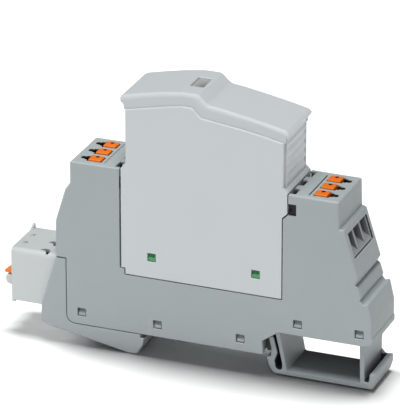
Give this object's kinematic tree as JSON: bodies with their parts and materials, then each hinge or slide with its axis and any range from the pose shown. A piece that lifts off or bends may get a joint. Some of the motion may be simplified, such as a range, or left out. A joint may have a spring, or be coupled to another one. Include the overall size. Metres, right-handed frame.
{
  "type": "surge protective device",
  "caption": "Narrow grey rail-mounted surge protective device with a pull-out plug, push-in wire terminals with orange release buttons and a plug-in signal connector.",
  "frame": {"origin": "middle of the rail seat: centre of the 35 mm rail, on the plane of its flanges, at mid-width of the device", "axes": "+Z away from the rail, X along the device from the signal connector (-X) to the latch foot (+X), Y across its width with the face shown in the picture at -Y"},
  "size_m": [0.1042, 0.0176, 0.0758],
  "materials": {
    "housing_grey": "satin moulded polyamide",
    "guide_grey": "satin moulded polyamide",
    "plug_grey": "satin moulded polyamide",
    "connector_grey": "satin moulded polyamide",
    "button_orange": "satin moulded polyamide",
    "carrier_green": "satin moulded polyamide",
    "black_plastic": "satin moulded polyamide",
    "board_green": "solder mask",
    "varistor_blue": "epoxy coating",
    "ceramic": "glazed ceramic",
    "lens_grey": "translucent",
    "flag_pale": "satin moulded polyamide",
    "copper": "bare rolled copper",
    "tinned_copper": "tin plated",
    "spring_steel": "cold rolled"
  },
  "bodies": {
    "base": {"base_housing": "housing_grey", "base_foot": "housing_grey", "coding_bar": "black_plastic", "wire_guide_left": "guide_grey", "wire_guide_right": "guide_grey", "busbar_line": "copper", "busbar_neutral": "copper", "busbar_earth": "copper", "socket_line": "tinned_copper", "socket_neutral": "tinned_copper", "socket_earth": "tinned_copper", "signal_header": "black_plastic", "signal_pins": "tinned_copper", "signal_board": "board_green", "signal_switch": "black_plastic", "clamp_spring_left_1": "spring_steel", "clamp_spring_left_2": "spring_steel", "clamp_spring_left_3": "spring_steel", "clamp_spring_right_1": "spring_steel", "clamp_spring_right_2": "spring_steel", "clamp_spring_right_3": "spring_steel"},
    "plug": {"plug_frame": "plug_grey", "plug_cover_front": "plug_grey", "plug_cover_rear": "plug_grey", "plug_carrier": "carrier_green", "plug_board": "board_green", "varistor_1": "varistor_blue", "varistor_2": "varistor_blue", "varistor_3": "varistor_blue", "gas_tube": "ceramic", "blade_line": "tinned_copper", "blade_neutral": "tinned_copper", "blade_earth": "tinned_copper", "status_lens": "lens_grey", "trip_spring": "spring_steel"},
    "trip": {"trip_slider": "flag_pale"},
    "connector": {"connector_housing": "connector_grey", "connector_contacts": "tinned_copper", "connector_spring_1": "spring_steel", "connector_spring_2": "spring_steel", "connector_spring_3": "spring_steel"},
    "button_left_1": {"button_left_1": "button_orange"},
    "button_left_2": {"button_left_2": "button_orange"},
    "button_left_3": {"button_left_3": "button_orange"},
    "button_right_1": {"button_right_1": "button_orange"},
    "button_right_2": {"button_right_2": "button_orange"},
    "button_right_3": {"button_right_3": "button_orange"},
    "connector_lever_1": {"connector_lever_1": "button_orange"},
    "connector_lever_2": {"connector_lever_2": "button_orange"},
    "connector_lever_3": {"connector_lever_3": "button_orange"}
  },
  "joints": [
    {"name": "plug_pull", "type": "slide", "parent": "base", "child": "plug", "axis": [0, 0, 1], "range_m": [0, 0.032]},
    {"name": "connector_pull", "type": "slide", "parent": "base", "child": "connector", "axis": [-1, 0, 0], "range_m": [0, 0.0125]},
    {"name": "trip_slide", "type": "slide", "parent": "plug", "child": "trip", "axis": [-1, 0, 0], "range_m": [0, 0.003], "deforming": ["trip_spring"]},
    {"name": "button_left_1_press", "type": "slide", "parent": "base", "child": "button_left_1", "axis": [0, 0, -1], "range_m": [0, 0.0012], "stiffness_N_per_m": 1500, "deforming": ["clamp_spring_left_1"]},
    {"name": "button_left_2_press", "type": "slide", "parent": "base", "child": "button_left_2", "axis": [0, 0, -1], "range_m": [0, 0.0012], "stiffness_N_per_m": 1500, "deforming": ["clamp_spring_left_2"]},
    {"name": "button_left_3_press", "type": "slide", "parent": "base", "child": "button_left_3", "axis": [0, 0, -1], "range_m": [0, 0.0012], "stiffness_N_per_m": 1500, "deforming": ["clamp_spring_left_3"]},
    {"name": "button_right_1_press", "type": "slide", "parent": "base", "child": "button_right_1", "axis": [0, 0, -1], "range_m": [0, 0.0012], "stiffness_N_per_m": 1500, "deforming": ["clamp_spring_right_1"]},
    {"name": "button_right_2_press", "type": "slide", "parent": "base", "child": "button_right_2", "axis": [0, 0, -1], "range_m": [0, 0.0012], "stiffness_N_per_m": 1500, "deforming": ["clamp_spring_right_2"]},
    {"name": "button_right_3_press", "type": "slide", "parent": "base", "child": "button_right_3", "axis": [0, 0, -1], "range_m": [0, 0.0012], "stiffness_N_per_m": 1500, "deforming": ["clamp_spring_right_3"]},
    {"name": "connector_lever_1_press", "type": "slide", "parent": "connector", "child": "connector_lever_1", "axis": [1, 0, 0], "range_m": [0, 0.001], "stiffness_N_per_m": 800},
    {"name": "connector_lever_2_press", "type": "slide", "parent": "connector", "child": "connector_lever_2", "axis": [1, 0, 0], "range_m": [0, 0.001], "stiffness_N_per_m": 800},
    {"name": "connector_lever_3_press", "type": "slide", "parent": "connector", "child": "connector_lever_3", "axis": [1, 0, 0], "range_m": [0, 0.001], "stiffness_N_per_m": 800}
  ]
}
